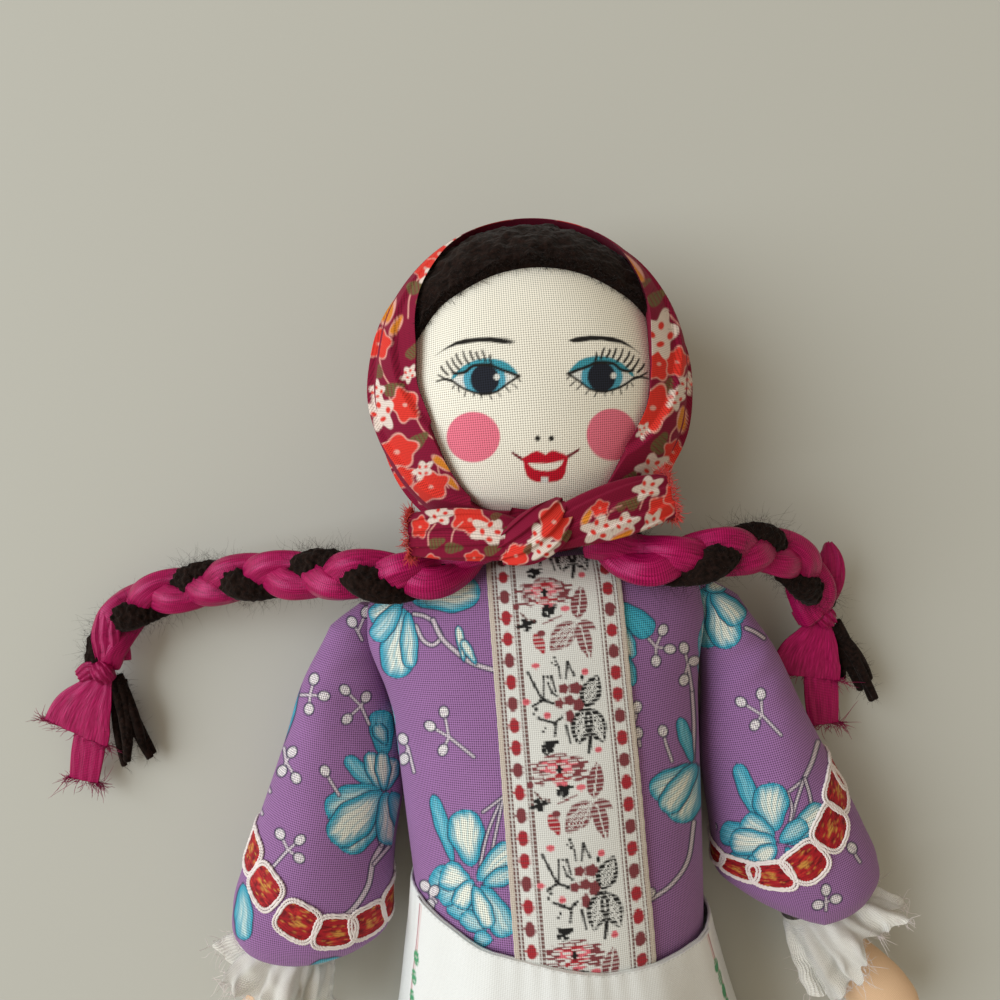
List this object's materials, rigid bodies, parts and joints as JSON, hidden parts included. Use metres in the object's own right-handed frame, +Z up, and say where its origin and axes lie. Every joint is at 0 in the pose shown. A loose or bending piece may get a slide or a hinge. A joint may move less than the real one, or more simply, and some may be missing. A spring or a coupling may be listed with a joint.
{
  "type": "rag doll",
  "caption": "Stuffed cloth doll with linen face, kerchief, ribbon plaits, flowered puff sleeves and a white apron skirt, lying on its back.",
  "frame": {"origin": "centre of the flat patch on the back of the torso that the doll rests on, midway along the front ribbon's length", "axes": "doll on its back: +Y from the feet to the head along the body, +X towards the doll's left hand, +Z up out of the chest"},
  "size_m": [0.2592, 0.3894, 0.0649],
  "materials": {
    "purple_cotton": "plain woven cotton, printed with small flowers",
    "cream_linen": "coarse plain weave, face painted on it",
    "white_linen": "coarse white linen with a printed vine border",
    "burgundy_print": "printed cotton kerchief cloth",
    "jacquard_ribbon": "woven jacquard ribbon",
    "brocade_trim": "red and gold brocade band with white cord edges",
    "gauze": "open white gauze, frayed",
    "peach_cotton": "plain peach cotton",
    "dark_wool": "loose dark wool",
    "magenta_ribbon": "satin ribbon plaited with dark wool",
    "filling": "polyester fibre",
    "brown_felt": "felt"
  },
  "bodies": {
    "torso": {"torso_cover": "purple_cotton", "torso_stuffing": "filling", "front_ribbon": "jacquard_ribbon", "skirt_top": "white_linen", "apron_top": "white_linen"},
    "head": {"head_cover": "cream_linen", "head_stuffing": "filling", "hair_pad": "dark_wool", "kerchief": "burgundy_print", "kerchief_knot": "burgundy_print", "kerchief_end_left": "burgundy_print", "kerchief_end_right": "burgundy_print", "braid_root_left": "magenta_ribbon", "braid_root_right": "magenta_ribbon"},
    "lap": {"skirt_flare": "white_linen", "apron_panel": "white_linen"},
    "arm_left": {"sleeve_left": "purple_cotton", "arm_stuffing_left": "filling", "cuff_trim_left": "brocade_trim", "cuff_frill_left": "gauze", "hand_left": "peach_cotton"},
    "leg_left": {"leg_cover_left": "cream_linen", "leg_stuffing_left": "filling", "boot_left": "brown_felt"},
    "plait_left": {"braid_left": "magenta_ribbon"},
    "plait_end_left": {"braid_tail_left": "magenta_ribbon", "braid_bow_left": "magenta_ribbon", "braid_tassel_left": "dark_wool"},
    "arm_right": {"sleeve_right": "purple_cotton", "arm_stuffing_right": "filling", "cuff_trim_right": "brocade_trim", "cuff_frill_right": "gauze", "hand_right": "peach_cotton"},
    "leg_right": {"leg_cover_right": "cream_linen", "leg_stuffing_right": "filling", "boot_right": "brown_felt"},
    "plait_right": {"braid_right": "magenta_ribbon"},
    "plait_end_right": {"braid_tail_right": "magenta_ribbon", "braid_bow_right": "magenta_ribbon", "braid_tassel_right": "dark_wool"}
  },
  "joints": [
    {"name": "head_nod", "type": "hinge", "parent": "torso", "child": "head", "pos_m": [0, 0.05, 0.036], "axis": [1, 0, 0], "range_deg": [0, 25]},
    {"name": "arm_left_swing", "type": "hinge", "parent": "torso", "child": "arm_left", "pos_m": [0.05487, 0.037, 0.0192], "axis": [-1, 0, 0], "range_deg": [0, 75]},
    {"name": "arm_right_swing", "type": "hinge", "parent": "torso", "child": "arm_right", "pos_m": [-0.05487, 0.037, 0.0192], "axis": [-1, 0, 0], "range_deg": [0, 75]},
    {"name": "hip_fold", "type": "hinge", "parent": "torso", "child": "lap", "pos_m": [0, -0.0918, 0.0156], "axis": [-1, 0, 0], "range_deg": [0, 85], "deforming": ["skirt_flare", "apron_panel"]},
    {"name": "leg_left_spread", "type": "hinge", "parent": "lap", "child": "leg_left", "pos_m": [0.0225, -0.0918, 0.0156], "axis": [0, 0, 1], "range_deg": [0, 10]},
    {"name": "leg_right_spread", "type": "hinge", "parent": "lap", "child": "leg_right", "pos_m": [-0.0225, -0.0918, 0.0156], "axis": [0, 0, -1], "range_deg": [0, 10]},
    {"name": "plait_left_lift", "type": "hinge", "parent": "head", "child": "plait_left", "pos_m": [0.03694, 0.0505, 0.05032], "axis": [0, 1, 0], "range_deg": [-60, 0]},
    {"name": "plait_right_lift", "type": "hinge", "parent": "head", "child": "plait_right", "pos_m": [-0.03594, 0.05293, 0.0485], "axis": [0, -1, 0], "range_deg": [-60, 0]},
    {"name": "plait_end_left_droop", "type": "hinge", "parent": "plait_left", "child": "plait_end_left", "pos_m": [0.06738, 0.04895, 0.03576], "axis": [1, 0, 0], "range_deg": [-25, 0]},
    {"name": "plait_end_right_droop", "type": "hinge", "parent": "plait_right", "child": "plait_end_right", "pos_m": [-0.11842, 0.04944, 0.01186], "axis": [1, 0, 0], "range_deg": [-25, 0]}
  ],
  "couplings": [
    {"joint": "plait_end_left_droop", "follows": "head_nod", "ratio": -1},
    {"joint": "plait_end_right_droop", "follows": "head_nod", "ratio": -1}
  ]
}
